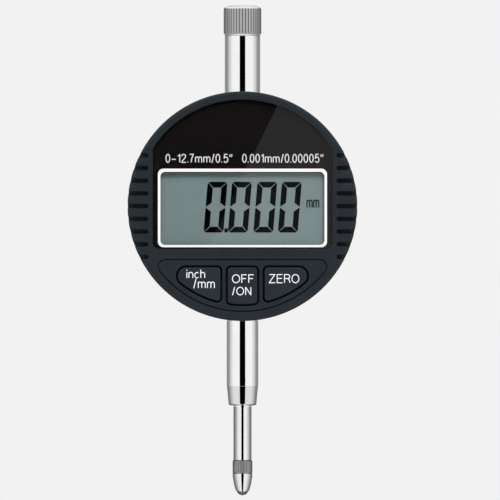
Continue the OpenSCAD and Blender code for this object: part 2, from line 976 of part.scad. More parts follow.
front_shell();
window_lens();
window_mask();
lcd_panel();
lcd_holder();
zebra_strips();
main_board();
controller_chip();
board_components();
key_left();
key_middle();
key_right();
switch_dome_left();
switch_dome_middle();
switch_dome_right();
chassis_frame();
frame_screws();
stem();
lower_bush();
upper_tube();
upper_bush();
dust_cap();
spindle();
slider_clamp();
slider_board();
guide_pin();
guide_rail();
rail_screws();
stroke_bumper();
return_spring();
contact_point();
contact_ball();
rear_cover();
rear_cover_screws();
battery_cell();
battery_contact_minus();
battery_contact_plus();
battery_door();
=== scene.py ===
"""Looks of a digital dial indicator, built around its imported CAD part.

Lengths are written in millimetres and turned into metres when a mesh is made. X is to the
reader's right, the display faces -Y, and heights (z) count from the middle of the case.
"""
import json
import math

import bmesh
import bpy
from mathutils import Matrix, Vector
from mathutils.bvhtree import BVHTree
from mathutils.geometry import tessellate_polygon

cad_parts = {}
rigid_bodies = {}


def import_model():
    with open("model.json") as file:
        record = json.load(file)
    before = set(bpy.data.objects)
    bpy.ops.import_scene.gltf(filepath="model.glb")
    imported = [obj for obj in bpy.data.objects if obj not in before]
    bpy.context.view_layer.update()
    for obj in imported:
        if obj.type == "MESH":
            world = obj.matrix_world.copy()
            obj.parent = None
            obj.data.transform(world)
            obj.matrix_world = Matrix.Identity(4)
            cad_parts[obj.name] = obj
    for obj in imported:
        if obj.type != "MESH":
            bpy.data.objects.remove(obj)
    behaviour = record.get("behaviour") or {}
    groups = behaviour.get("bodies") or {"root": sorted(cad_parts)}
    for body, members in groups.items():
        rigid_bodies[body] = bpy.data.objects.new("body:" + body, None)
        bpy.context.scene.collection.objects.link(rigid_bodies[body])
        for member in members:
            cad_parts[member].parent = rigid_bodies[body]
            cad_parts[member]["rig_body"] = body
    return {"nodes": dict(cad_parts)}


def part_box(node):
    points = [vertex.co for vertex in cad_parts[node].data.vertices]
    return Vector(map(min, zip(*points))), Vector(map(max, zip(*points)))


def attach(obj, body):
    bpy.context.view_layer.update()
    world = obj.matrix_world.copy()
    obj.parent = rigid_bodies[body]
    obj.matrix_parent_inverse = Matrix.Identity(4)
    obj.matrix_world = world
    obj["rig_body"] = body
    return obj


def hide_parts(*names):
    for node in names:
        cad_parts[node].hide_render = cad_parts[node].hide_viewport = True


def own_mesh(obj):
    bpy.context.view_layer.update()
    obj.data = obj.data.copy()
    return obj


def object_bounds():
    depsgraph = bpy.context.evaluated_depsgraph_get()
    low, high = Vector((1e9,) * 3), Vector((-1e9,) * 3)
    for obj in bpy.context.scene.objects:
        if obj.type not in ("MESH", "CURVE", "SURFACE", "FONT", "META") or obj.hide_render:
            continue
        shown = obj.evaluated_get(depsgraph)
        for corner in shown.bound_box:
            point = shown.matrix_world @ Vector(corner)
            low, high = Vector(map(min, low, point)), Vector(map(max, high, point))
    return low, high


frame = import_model()
cad_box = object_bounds()

MM = 0.001
shell_low, shell_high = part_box("front_shell")
CASE_Z = (shell_low.z + shell_high.z) / 2 / MM
FRONT_Y = shell_low.y / MM
LENS_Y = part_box("window_lens")[0].y / MM
LENS_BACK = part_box("window_lens")[1].y / MM
MASK_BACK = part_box("window_mask")[1].y / MM
KEY_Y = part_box("key_middle")[0].y / MM

# ---------------------------------------------------------------- materials

EDGE_ROUND = 0.12
BEVEL_SAMPLES = 6
WEAR_TURN = (0.99, 0.88)  # how far the rolled normal turns (as a cosine) from no wear to full wear
RUBBED_PLASTIC = (0.10, 0.11, 0.12)
RUBBED_METAL = (0.90, 0.90, 0.90)


class Nodes:
    """The node tree of a new material or of the world, with short calls for the nodes used here."""

    def __init__(self, name, world=None):
        self.material = world or bpy.data.materials.new(name)
        self.material.use_nodes = True
        self.tree = self.material.node_tree
        self.tree.nodes.clear()
        self.output = self.add("ShaderNodeOutputWorld" if world else "ShaderNodeOutputMaterial")
        places = self.add("ShaderNodeTexCoord").outputs
        self.coordinates = places["Generated" if world else "Object"]

    def add(self, kind, **values):
        node = self.tree.nodes.new(kind)
        for key, value in values.items():
            setattr(node, key, value)
        return node

    def link(self, source, target):
        self.tree.links.new(source, target)

    def math(self, operation, *values):
        """Arithmetic on sockets and numbers."""
        node = self.add("ShaderNodeMath", operation=operation)
        for socket, value in zip(node.inputs, values):
            if isinstance(value, (int, float)):
                socket.default_value = value
            else:
                self.link(value, socket)
        return node.outputs[0]

    def from_front(self):
        """How far round from the front, from 0 to 1 at the back, and the height."""
        split = self.add("ShaderNodeSeparateXYZ")
        self.link(self.coordinates, split.inputs[0])
        x, y, z = split.outputs
        turn = self.math("ARCTAN2", x, self.math("MULTIPLY", y, -1.0))
        return self.math("DIVIDE", self.math("ABSOLUTE", turn), math.pi), z

    def stretch(self, scale):
        """Object coordinates scaled on each axis, for grain that runs one way."""
        node = self.add("ShaderNodeMapping")
        node.inputs["Scale"].default_value = scale
        self.link(self.coordinates, node.inputs["Vector"])
        return node.outputs["Vector"]

    def noise(self, size_mm, detail=3.0, roughness=0.55, vector=None):
        """Noise whose features are about size_mm across, from 0 to 1."""
        node = self.add("ShaderNodeTexNoise")
        node.inputs["Scale"].default_value = 1.0 / (size_mm * MM)
        node.inputs["Detail"].default_value = detail
        node.inputs["Roughness"].default_value = roughness
        self.link(vector or self.coordinates, node.inputs["Vector"])
        return node.outputs["Fac"]

    def cells(self, size_mm, feature="F1"):
        node = self.add("ShaderNodeTexVoronoi", feature=feature)
        node.inputs["Scale"].default_value = 1.0 / (size_mm * MM)
        self.link(self.coordinates, node.inputs["Vector"])
        return node.outputs["Distance"]

    def remap(self, value, low, high, to_low, to_high):
        node = self.add("ShaderNodeMapRange")
        for socket, number in zip(node.inputs[1:5], (low, high, to_low, to_high)):
            socket.default_value = number
        self.link(value, node.inputs[0])
        return node.outputs[0]

    def ramp(self, value, stops):
        node = self.add("ShaderNodeValToRGB")
        elements = node.color_ramp.elements
        while len(elements) < len(stops):
            elements.new(0.5)
        for element, (place, colour) in zip(elements, stops):
            element.position = place
            element.color = (*colour, 1.0)
        self.link(value, node.inputs["Fac"])
        return node.outputs["Color"]

    def rounded(self):
        """Normal that rolls smoothly over every edge."""
        node = self.add("ShaderNodeBevel", samples=BEVEL_SAMPLES)
        node.inputs["Radius"].default_value = EDGE_ROUND * MM
        return node.outputs["Normal"]

    def worn(self, colour, amount, rounded, bare):
        """Colour rubbed towards bare in patches along edges, where the rolled normal turns away."""
        turn = self.add("ShaderNodeVectorMath", operation="DOT_PRODUCT")
        self.link(rounded, turn.inputs[0])
        self.link(self.add("ShaderNodeNewGeometry").outputs["Normal"], turn.inputs[1])
        edge = self.remap(turn.outputs["Value"], *WEAR_TURN, 0, amount)
        patches = self.remap(self.noise(2.2, 4.0, 0.65), 0.42, 0.62, 0.15, 1)
        return self.blend(self.math("MULTIPLY", edge, patches), colour, bare)

    def blend(self, share, colour, other):
        """Colour that turns into another, fixed one."""
        node = self.add("ShaderNodeMix", data_type="RGBA")
        self.link(share, node.inputs["Factor"])
        self.link(colour, node.inputs["A"])
        node.inputs["B"].default_value = (*other, 1)
        return node.outputs["Result"]

    def bump(self, height, depth_mm, after=None):
        node = self.add("ShaderNodeBump")
        node.inputs["Strength"].default_value = 1.0
        node.inputs["Distance"].default_value = depth_mm * MM
        self.link(height, node.inputs["Height"])
        if after is not None:
            self.link(after, node.inputs["Normal"])
        return node.outputs["Normal"]

    def principled(self, colour=None, roughness=None, normal=None, **fixed):
        node = self.add("ShaderNodeBsdfPrincipled")
        for socket, value in (("Base Color", colour), ("Roughness", roughness), ("Normal", normal)):
            if value is not None:
                self.link(value, node.inputs[socket])
        for key, value in fixed.items():
            node.inputs[key.replace("_", " ")].default_value = value
        return self.surface(node)

    def grey(self, kind, level):
        """A shader of one grey."""
        node = self.add(kind)
        node.inputs["Color"].default_value = (level, level, level, 1)
        return node

    def mix(self, share, first, second):
        """The surface becomes a mix of two shaders."""
        node = self.add("ShaderNodeMixShader")
        for socket, source in zip(node.inputs, (share, first.outputs[0], second.outputs[0])):
            self.link(source, socket)
        return self.surface(node)

    def surface(self, shader):
        self.link(shader.outputs[0], self.output.inputs["Surface"])
        return shader


def shade(colour, factor):
    return tuple(c * factor for c in colour)


def plastic(name, colour, rough=(0.42, 0.54), grain_mm=0.11, grain_depth=0.004, specular=0.28,
            wear=0.0):
    """Moulded plastic: spark-eroded grain, faint flow marks and light edges where it is handled."""
    n = Nodes(name)
    flow = n.noise(7.0, 4.0)
    fine = n.noise(grain_mm, 2.0)
    tint = n.ramp(flow, [(0.3, shade(colour, 0.90)), (0.7, shade(colour, 1.10))])
    rounded = None
    if wear:
        rounded = n.rounded()
        tint = n.worn(tint, wear, rounded, RUBBED_PLASTIC)
    scuffs = n.noise(1.6, 5.0, 0.7)
    n.principled(tint, n.remap(scuffs, 0.3, 0.7, *rough), n.bump(fine, grain_depth, rounded),
                 Specular_IOR_Level=specular)
    return n.material


def metal(name, colour, rough, brush=None, brush_depth=0.0004, specks=0.0, wear=0.0):
    """Bare metal. brush scales the fine marks on each axis: less along the way it was worked."""
    n = Nodes(name)
    marks = n.noise(1.0, 4.0, 0.6, n.stretch(brush) if brush else None)
    clouds = n.noise(3.5, 3.0)
    tint = n.ramp(clouds, [(0.3, shade(colour, 0.96)), (0.7, shade(colour, 1.0))])
    rounded = None
    if wear:
        rounded = n.rounded()
        tint = n.worn(tint, wear, rounded, RUBBED_METAL)
    normal = n.bump(marks, brush_depth, rounded)
    if specks:
        normal = n.bump(n.noise(0.25, 3.0), specks, normal)
    n.principled(tint, n.remap(marks, 0.3, 0.7, *rough), normal, Metallic=1.0)
    return n.material


def knurled(name, ridge, floor, r_floor, r_ridge, rough):
    """Knurled metal, coloured by distance from the axis: painted light on the ridges, painted shade
    on the floors of the grooves.
    """
    n = Nodes(name)
    flat = n.add("ShaderNodeVectorMath", operation="MULTIPLY")
    flat.inputs[1].default_value = (1, 1, 0)
    n.link(n.coordinates, flat.inputs[0])
    out = n.add("ShaderNodeVectorMath", operation="LENGTH")
    n.link(flat.outputs["Vector"], out.inputs[0])
    height = n.remap(out.outputs["Value"], r_floor * MM, r_ridge * MM, 0, 1)
    marks = n.noise(0.6, 4.0, 0.6)
    # Colour set by depth: painted shade on the groove floors, painted light on the ridge tops.
    n.principled(n.ramp(height, [(0.25, floor), (0.85, ridge)]), n.remap(marks, 0.3, 0.7, *rough),
                 n.bump(marks, 0.0006), Metallic=1.0)
    return n.material


GLOSS_ROUGH, DISPLAY_ROUGH = 0.006, 0.015
SCHLICK_POWER = 5.0
# Coats that carry the reflections of the clear sheets above: the window, and the display's glass.
WINDOW_IOR, DISPLAY_IOR, SEGMENT_IOR = 1.75, 2.05, 1.42


def printed(name, colour, rough=0.5, specular=0.3, gloss_ior=1.0):
    """Screen-printed ink, a little uneven. gloss_ior is for ink that lies under a clear sheet."""
    n = Nodes(name)
    patches = n.noise(0.5, 3.0)
    tint = n.ramp(patches, [(0.25, shade(colour, 0.94)), (0.75, colour)])
    n.principled(tint, n.remap(patches, 0.3, 0.7, rough, rough + 0.12),
                 n.bump(n.noise(0.12), 0.0006), Specular_IOR_Level=specular,
                 Coat_Weight=float(gloss_ior > 1), Coat_IOR=gloss_ior, Coat_Roughness=GLOSS_ROUGH)
    return n.material


def clear(name, rough, wave_depth=0.00004):
    """Clear sheet: straight through, and glossy where it turns away.

    Its flat face's reflection is given to what lies under it, as a coat, which renders with far
    less noise.
    """
    n = Nodes(name)
    gloss = n.grey("ShaderNodeBsdfGlossy", 1)
    n.link(n.remap(n.noise(1.2, 5.0, 0.7), 0.3, 0.7, rough * 0.6, rough * 1.4),
           gloss.inputs["Roughness"])
    n.link(n.bump(n.noise(9.0, 1.0), wave_depth), gloss.inputs["Normal"])
    facing = n.add("ShaderNodeLayerWeight").outputs["Facing"]
    n.mix(n.math("POWER", facing, SCHLICK_POWER), n.grey("ShaderNodeBsdfTransparent", 1), gloss)
    return n.material


def circuit_board(name, mask, copper):
    """Solder mask over copper tracks, with the glass weave just showing."""
    n = Nodes(name)
    tracks = n.cells(2.2, "DISTANCE_TO_EDGE")
    weave = n.noise(0.4, 2.0, 0.5, n.stretch((1, 1, 3)))
    tint = n.ramp(tracks, [(0.0, mask), (0.09, mask), (0.11, copper), (1.0, copper)])
    n.principled(tint, n.remap(weave, 0.3, 0.7, 0.25, 0.4),
                 n.bump(weave, 0.004, n.bump(tracks, 0.02)))
    return n.material


CAP_R, CAP_DEPTH = 4.69, 0.16
SLATE = (0.0105, 0.0150, 0.0192)
mats = {
    "shell": plastic("case_plastic", SLATE, wear=0.25),
    "key": plastic("key_plastic", shade(SLATE, 1.12), (0.46, 0.58), 0.09, 0.003, 0.28, 0.2),
    "cover": plastic("cover_plastic", SLATE, (0.44, 0.58), 0.14, 0.006, 0.28, 0.25),
    "mask": printed("window_black", (0.0058, 0.0048, 0.0047), 0.3, 0.05, WINDOW_IOR),
    "white": printed("white_ink", (0.90, 0.90, 0.90), gloss_ior=WINDOW_IOR),
    "legend": printed("legend_ink", (0.78, 0.79, 0.80)),
    "grey": printed("pale_ink", (0.62, 0.62, 0.62), gloss_ior=WINDOW_IOR),
    "lens": clear("window_clear", GLOSS_ROUGH),
    "segment": printed("display_segment", (0.0008, 0.001, 0.0012), 0.35, 0.01, SEGMENT_IOR),
    "segment_pale": printed("display_sign", (0.012, 0.014, 0.015), 0.4, 0.02, SEGMENT_IOR),
    "chrome": metal("polished_steel", (0.97, 0.97, 0.975), (0.015, 0.035), (4, 4, 0.35), 0.00001),
    "nose": metal("turned_steel", (0.79, 0.785, 0.785), (0.02, 0.05), (0.5, 0.5, 6), 0.00004),
    # The knurl's ridge and groove-floor colours: painted light on the ridges, painted shade in the
    # grooves.
    "knurl": knurled("knurled_steel", (0.50, 0.50, 0.50), (0.20, 0.20, 0.20), CAP_R - CAP_DEPTH,
                     CAP_R, (0.24, 0.34)),
    "cap": metal("cap_steel", (0.89, 0.89, 0.89), (0.16, 0.24), (1, 1, 1), 0.0002),
    "point": metal("contact_steel", (0.95, 0.95, 0.96), (0.02, 0.05), (0.5, 0.5, 6), 0.00004),
    "collar": metal("collar_steel", (0.38, 0.38, 0.375), (0.20, 0.30), (1, 1, 1), 0.001, 0.0006,
                    0.12),
    "ball": metal("carbide", (0.26, 0.26, 0.27), (0.26, 0.34), (1, 1, 1), 0.0004),
    "screw": metal("screw_steel", (0.62, 0.62, 0.63), (0.18, 0.30), (1, 1, 1), 0.0015, 0.001, 0.8),
    "zinc": metal("cast_zinc", (0.48, 0.49, 0.50), (0.42, 0.60), (1, 1, 1), 0.006, 0.004, 0.5),
    "bronze": metal("sintered_bronze", (0.55, 0.36, 0.17), (0.35, 0.5), (1, 1, 1), 0.003, 0.004),
    "spring": metal("spring_wire", (0.60, 0.58, 0.55), (0.16, 0.28), (3, 3, 3), 0.0008),
    "nickel": metal("nickel_contact", (0.68, 0.66, 0.60), (0.18, 0.32), (1, 1, 4), 0.001),
    "cell": metal("cell_steel", (0.70, 0.71, 0.72), (0.14, 0.24), (1, 1, 1), 0.0008),
    "inner": plastic("inner_plastic", (0.016, 0.016, 0.018), (0.5, 0.62), 0.2, 0.008),
    "rubber": plastic("bumper_rubber", (0.018, 0.018, 0.018), (0.72, 0.85), 0.25, 0.012, 0.2),
    "pink_rubber": plastic("contact_rubber", (0.52, 0.20, 0.17), (0.55, 0.7), 0.3, 0.006, 0.3),
    "epoxy": plastic("chip_epoxy", (0.008, 0.008, 0.009), (0.22, 0.38), 0.8, 0.01, 0.5),
    "ceramic": plastic("chip_parts", (0.28, 0.19, 0.10), (0.35, 0.5), 0.3, 0.004, 0.4),
    "board": circuit_board("board_green", (0.010, 0.075, 0.030), (0.016, 0.115, 0.045)),
}

# The display's grey-green brushed reflector. Its coat stands for the glass over it.
n = Nodes("display_reflector")
brushed = n.noise(0.5, 3.0, 0.6, n.stretch((0.12, 1, 1)))
frost = n.noise(0.16, 2.0)
n.principled(n.ramp(brushed, [(0.2, (0.143, 0.194, 0.193)), (0.8, (0.157, 0.210, 0.209))]),
             n.remap(frost, 0.3, 0.7, 0.5, 0.62), n.bump(frost, 0.002), Specular_IOR_Level=0.2,
             Coat_Weight=1.0, Coat_Roughness=DISPLAY_ROUGH, Coat_IOR=DISPLAY_IOR)
mats["reflector"] = n.material

# ---------------------------------------------------------------- mesh making

SHARP, KNURL_SHARP = 32.0, 50.0


def added(name, data):
    """A new object in the scene."""
    thing = bpy.data.objects.new(name, data)
    bpy.context.scene.collection.objects.link(thing)
    return thing


def finish_piece(name, mesh, material, body, nodes=(), sharp=SHARP, weighted=True):
    """Puts a mesh into the scene as a piece that rides on body and stands for nodes."""
    piece = added(name, mesh)
    mesh.materials.clear()
    mesh.materials.append(mats[material])
    mesh.shade_smooth()
    mesh.set_sharp_from_angle(angle=math.radians(sharp))
    if weighted:
        normals = piece.modifiers.new("even_normals", "WEIGHTED_NORMAL")
        normals.keep_sharp = True
    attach(piece, body)
    if nodes:
        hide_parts(*nodes)
    return piece


def from_bmesh(name, bm):
    mesh = bpy.data.meshes.new(name)
    bm.to_mesh(mesh)
    bm.free()
    return mesh


def mesh_from(name, points, faces):
    """Mesh from points in millimetres about the case's middle."""
    mesh = bpy.data.meshes.new(name)
    mesh.from_pydata([(x * MM, y * MM, (z + CASE_Z) * MM) for x, y, z in points], [], faces)
    bm = bmesh.new()
    bm.from_mesh(mesh)
    bmesh.ops.recalc_face_normals(bm, faces=bm.faces)
    bm.to_mesh(mesh)
    bm.free()
    return mesh


def bow(cx, cz, rx, rz, start, end, steps=18):
    """Points on an ellipse from start to end, in degrees."""
    return [(cx + rx * math.cos(math.radians(start + (end - start) * i / steps)),
             cz + rz * math.sin(math.radians(start + (end - start) * i / steps)))
            for i in range(steps + 1)]


def arc(cx, cz, r, start, end, steps):
    return bow(cx, cz, r, r, start, end, steps)


def box_loop(x0, x1, z0, z1, r, steps=10):
    """Counter-clockwise rectangle with round corners."""
    return (arc(x1 - r, z0 + r, r, -90, 0, steps) + arc(x1 - r, z1 - r, r, 0, 90, steps)
            + arc(x0 + r, z1 - r, r, 90, 180, steps) + arc(x0 + r, z0 + r, r, 180, 270, steps))


def growing_box(x0, x1, z0, z1, r):
    return lambda grow: box_loop(x0 - grow, x1 + grow, z0 - grow, z1 + grow, r + grow)


def plate(name, loop, y0, y1, front_round=0.0, back_round=0.0, hole=None, hole_round=0.0, steps=4):
    """Plate between depths y0 and y1 with rounded edges. loop(grow) gives its outline as points.

    hole(grow) gives the outline of an opening through it.
    """
    def wall(outline, front, back, sign):
        rings = []
        for i in range(steps + 1 if front else 1):
            t = math.pi / 2 * i / steps
            rings.append((sign * front * (math.sin(t) - 1), y0 + front * (1 - math.cos(t))))
        for i in range(steps, -1, -1) if back else [0]:
            t = math.pi / 2 * i / steps
            rings.append((sign * back * (math.sin(t) - 1), y1 - back * (1 - math.cos(t))))
        return [[(x, y, z) for x, z in outline(grow)] for grow, y in rings]

    points, faces = [], []
    sides = [wall(loop, front_round, back_round, 1)]
    if hole:
        sides.append(wall(hole, hole_round, 0, -1))
    caps = ([], [])
    for rings in sides:
        first = len(points)
        size = len(rings[0])
        for ring in rings:
            points += ring
        for k in range(len(rings) - 1):
            for i in range(size):
                j = (i + 1) % size
                a = first + k * size
                faces.append((a + i, a + j, a + size + j, a + size + i))
        caps[0].append(range(first, first + size))
        caps[1].append(range(first + (len(rings) - 1) * size, first + len(rings) * size))
    for cap in caps:
        if len(cap) == 1:
            faces.append(tuple(cap[0]))
        else:
            flat = [i for ring in cap for i in ring]
            outlines = [[Vector((points[i][0], points[i][2], 0)) for i in ring] for ring in cap]
            faces += [tuple(flat[i] for i in t) for t in tessellate_polygon(outlines)]
    return mesh_from(name, points, faces)


def groove(turn, ridge, floor):
    """How deep a knurl is at a share of one pitch: 0 on the ridge, 1 on the groove's floor."""
    across = abs((turn + 0.5) % 1.0 - 0.5) * 2
    t = min(max((across - ridge) / (1 - floor - ridge), 0.0), 1.0)
    return t * t * (3 - 2 * t)


def turned(name, profile, segments=128, teeth=0, ridge=0.42, floor=0.1):
    """Body turned about the spindle axis from a closed profile of (radius, height, groove depth).

    A radius of 0 is a point on the axis. teeth is the number of ridges of a straight knurl.
    """
    profile = [(*p, 0.0) if len(p) == 2 else p for p in profile]
    points, rings = [], []
    for r, z, depth in profile:
        rings.append(len(points))
        if r == 0:
            points.append((0, 0, z))
            continue
        for i in range(segments):
            a = 2 * math.pi * i / segments
            cut = r - depth * groove(teeth * i / segments + 0.5, ridge, floor) if depth else r
            points.append((cut * math.sin(a), -cut * math.cos(a), z))
    faces = []
    for k in range(len(profile)):
        m = (k + 1) % len(profile)
        a_point, b_point = profile[k][0] == 0, profile[m][0] == 0
        if a_point and b_point:
            continue
        for i in range(segments):
            j = (i + 1) % segments
            if a_point:
                faces.append((rings[k], rings[m] + i, rings[m] + j))
            elif b_point:
                faces.append((rings[k] + i, rings[k] + j, rings[m]))
            else:
                faces.append((rings[k] + i, rings[k] + j, rings[m] + j, rings[m] + i))
    return mesh_from(name, points, faces)


MERGE = 1e-7
SAME_DEPTH = 0.01
FLAT_ANGLE = math.radians(0.6)
TRIES = 4
# Signs of a rounding that has folded: a vertex this share of the width away from the old surface,
# or a face of some size that doesn't face the way of the old surface near it.
STRAYED, SMALL_FACE, NEAR, FACES_ALONG = 0.5, 0.03, 0.9, 0.2
STRAYED_REACH, FOLDED_REACH = 1.0, 0.6


def softened(name, node, width, deepen=None):
    """A copy of a CAD node's mesh with its sharp edges rounded by width.

    Where a corner is too crowded for the rounding and would fold over, its edges are left as they
    are. deepen is a pair of depths: the floor of a groove at the first is moved to the second.
    """
    crowded = []
    for _ in range(TRIES):
        bm = bmesh.new()
        bm.from_mesh(frame["nodes"][node].data)
        for vert in bm.verts:
            if deepen and abs(vert.co.y / MM - deepen[0]) < SAME_DEPTH:
                vert.co.y = deepen[1] * MM
        bmesh.ops.remove_doubles(bm, verts=bm.verts, dist=MERGE)
        bmesh.ops.dissolve_limit(bm, angle_limit=FLAT_ANGLE, verts=bm.verts, edges=bm.edges)
        bmesh.ops.recalc_face_normals(bm, faces=bm.faces)
        plain = bm.copy()
        bmesh.ops.triangulate(plain, faces=plain.faces)
        surface = BVHTree.FromBMesh(plain)
        plain.free()

        def is_crowded(edge):
            a, b = (v.co for v in edge.verts)
            along = b - a
            for spot, reach in crowded:
                t = min(max((spot - a).dot(along) / max(along.length_squared, 1e-18), 0), 1)
                if (a + along * t - spot).length < reach:
                    return True
            return False

        edges = [e for e in bm.edges if e.is_manifold and e.calc_face_angle(0) > math.radians(SHARP)
                 and not is_crowded(e)]
        bmesh.ops.bevel(bm, geom=edges, offset=width * MM, offset_type="OFFSET", segments=2,
                        profile=0.5, affect="EDGES", clamp_overlap=False, loop_slide=False)
        bmesh.ops.triangulate(bm, faces=bm.faces)
        found = []
        for vert in bm.verts:
            spot, _, _, away = surface.find_nearest(vert.co)
            if away > STRAYED * width * MM:
                found.append((spot, STRAYED_REACH * MM))
        for face in bm.faces:
            if face.calc_area() < (SMALL_FACE * MM) ** 2:
                continue
            middle = face.calc_center_median()
            near = surface.find_nearest_range(middle, NEAR * width * MM)
            if not near or max(hit[1].dot(face.normal) for hit in near) < FACES_ALONG:
                found.append((middle, FOLDED_REACH * MM))
        if not found:
            break
        crowded += found
        bm.free()
    bmesh.ops.remove_doubles(bm, verts=bm.verts, dist=MERGE)
    return from_bmesh(name, bm)


ARCH = bow(0.235, 0.44, 0.235, 0.235, 170, 0, 12) + [(0.47, 0.0)]
ARCH_1 = bow(0.19, 0.47, 0.19, 0.205, 170, 0, 12) + [(0.38, 0.0)]
ARCH_2 = [(x + 0.38, z) for x, z in ARCH_1]
# Each letter is drawn with single lines on a cap height of 1; the number is its width.
LETTERS = {
    "Z": (0.72, [[(0.04, 1), (0.69, 1), (0.0, 0), (0.72, 0)]]),
    "E": (0.62, [[(0.61, 1), (0, 1), (0, 0), (0.62, 0)], [(0, 0.53), (0.56, 0.53)]]),
    "R": (0.64, [[(0, 0), (0, 0.62)],
                 [(0, 0.58), (0, 1)] + bow(0.36, 0.755, 0.26, 0.245, 90, -90, 14) + [(0, 0.51)],
                 [(0.36, 0.51), (0.52, 0.42), (0.58, 0.26), (0.64, 0)]]),
    "O": (0.82, [bow(0.41, 0.5, 0.41, 0.5, 0, 360, 40)]),
    "F": (0.55, [[(0.55, 1), (0, 1), (0, 0)], [(0, 0.52), (0.48, 0.52)]]),
    "N": (0.62, [[(0, 0), (0, 1), (0.62, 0), (0.62, 1)]]),
    "i": (0.0, [[(0, 0), (0, 0.68)], [(0, 0.88), (0, 1.0)]]),
    "n": (0.47, [[(0, 0), (0, 0.68)], ARCH]),
    "c": (0.46, [bow(0.25, 0.335, 0.25, 0.335, 48, 312, 24)]),
    "h": (0.47, [[(0, 0), (0, 1)], ARCH]),
    "m": (0.76, [[(0, 0), (0, 0.68)], ARCH_1, ARCH_2]),
    "/": (0.26, [[(0, -0.04), (0.26, 1.04)]]),
    "0": (0.46, [bow(0.23, 0.5, 0.23, 0.5, 0, 360, 36)]),
    "1": (0.24, [[(0, 0.79), (0.14, 0.83), (0.24, 1.0), (0.24, 0)]]),
    "2": (0.48, [bow(0.23, 0.74, 0.23, 0.26, 175, -30, 16) + [(0.10, 0.20), (0.0, 0), (0.48, 0)]]),
    "5": (0.48, [[(0.44, 1), (0.09, 1), (0.03, 0.50)]
                 + bow(0.24, 0.33, 0.24, 0.33, 125, -150, 20)]),
    "7": (0.46, [[(0, 1), (0.46, 1), (0.26, 0.55), (0.16, 0)]]),
    ".": (0.02, [[(0, -0.01), (0, 0.09)]]),
    "-": (0.50, [[(0, 0.38), (0.50, 0.38)]]),
    '"': (0.22, [[(0.04, 1), (0, 0.68)], [(0.26, 1), (0.22, 0.68)]]),
    " ": (0.34, []),
}


STROKE_STEP = 0.0015  # strokes that cross lie at slightly different depths
MITRE_LIMIT = 0.30
SHARP_TURN = math.radians(112)


def ribbon(points, faces, line, half, front, back):
    """Adds a flat strip of the given half width along a line, from depth front to back."""
    closed = math.dist(line[0], line[-1]) < 1e-6
    line = line[:-1] if closed else line
    count, first = len(line), len(points)
    for i, (x, z) in enumerate(line):
        before = line[i - 1] if i or closed else None
        after = line[(i + 1) % count] if i < count - 1 or closed else None
        normals = []
        for start, end in ((before, (x, z)), ((x, z), after)):
            if start and end:
                d = math.dist(start, end)
                normals.append(((start[1] - end[1]) / d, (end[0] - start[0]) / d))
        nx, nz = (sum(n[k] for n in normals) / len(normals) for k in (0, 1))
        size = half / max(nx * nx + nz * nz, MITRE_LIMIT)
        for side in (1, -1):
            for y in (front, back):
                points.append((x + side * nx * size, y, z + side * nz * size))
    for i in range(count if closed else count - 1):
        a, b = first + 4 * i, first + 4 * ((i + 1) % count)
        for p, q in ((0, 2), (2, 3), (3, 1), (1, 0)):
            faces.append((a + p, b + p, b + q, a + q))
    if not closed:
        last = first + 4 * (count - 1)
        faces += [(first, first + 1, first + 3, first + 2), (last, last + 2, last + 3, last + 1)]


def cut_at_turns(line, reach):
    """A line cut where it doubles back, each cut end run on by reach, so that no strip pinches."""
    parts, start = [], 0
    for i in range(1, len(line) - 1):
        a, b, c = (Vector(p) for p in line[i - 1:i + 2])
        if (b - a).angle(c - b) > SHARP_TURN:
            parts.append([Vector(p) for p in line[start:i + 1]])
            start = i
    parts.append([Vector(p) for p in line[start:]])
    for before, after in zip(parts, parts[1:]):
        before[-1] = before[-1] + (before[-1] - before[-2]).normalized() * reach
        after[0] = after[0] + (after[0] - after[1]).normalized() * reach
    return [[tuple(p) for p in part] for part in parts]


def legend(name, text, x0, x1, z0, z1, front, depth, stroke, material, body, gap=0.24):
    """Printed words from x0 to x1 with capitals from z0 to z1, drawn with strokes of one width."""
    place, lines = 0.0, []
    for letter in text:
        width, strokes = LETTERS[letter]
        lines += [[(place + x, z) for x, z in line] for line in strokes]
        place += width + gap
    xs = [x for line in lines for x, _ in line]
    half = stroke / 2
    across = (x1 - x0 - stroke) / (max(xs) - min(xs))
    along = z1 - z0 - stroke
    strips = []
    for line in lines:
        strips += cut_at_turns([(x0 + half + (x - min(xs)) * across, z0 + half + z * along)
                                for x, z in line], half * 0.5)
    points, faces = [], []
    for i, strip in enumerate(strips):
        ribbon(points, faces, strip, half, front + STROKE_STEP * (i % 3), front + depth)
    return finish_piece(name, mesh_from(name, points, faces), material, body, weighted=False)


# ---------------------------------------------------------------- case front

PAD_GROOVE, PAD_GROOVE_SHOWN = 0.25, 0.6
finish_piece("case_front", softened("case_front", "front_shell", 0.08,
                                    deepen=(FRONT_Y + PAD_GROOVE, FRONT_Y + PAD_GROOVE_SHOWN)),
             "shell", "case", ["front_shell"])

WINDOW_R, WINDOW_HALF, WINDOW_LOW, WINDOW_CORNER = 26.4, 22.2, -10.5, 1.5
# Left, right, low, high and corner radius.
# The mask's black border shown inside the white line stands in, at the top, for the darkest edge of
# the shadow under the window's top edge: painted shade.
OPENING = (-20.55, 20.5, -9.75, 8.43, 1.2)
LINE_OUTSIDE = (-20.98, 20.98, -10.19, 9.31, 1.4)
LINE_INSIDE = (-20.37, 20.37, -9.62, 8.55, 1.2)


def window_loop(grow):
    r, half, corner = WINDOW_R + grow, WINDOW_HALF + grow, WINDOW_CORNER + grow
    reach = math.degrees(math.acos(half / r))
    return (arc(half - corner, WINDOW_LOW - grow + corner, corner, -90, 0, 10)
            + arc(0, 0, r, reach, 180 - reach, 120)
            + arc(-half + corner, WINDOW_LOW - grow + corner, corner, 180, 270, 10))


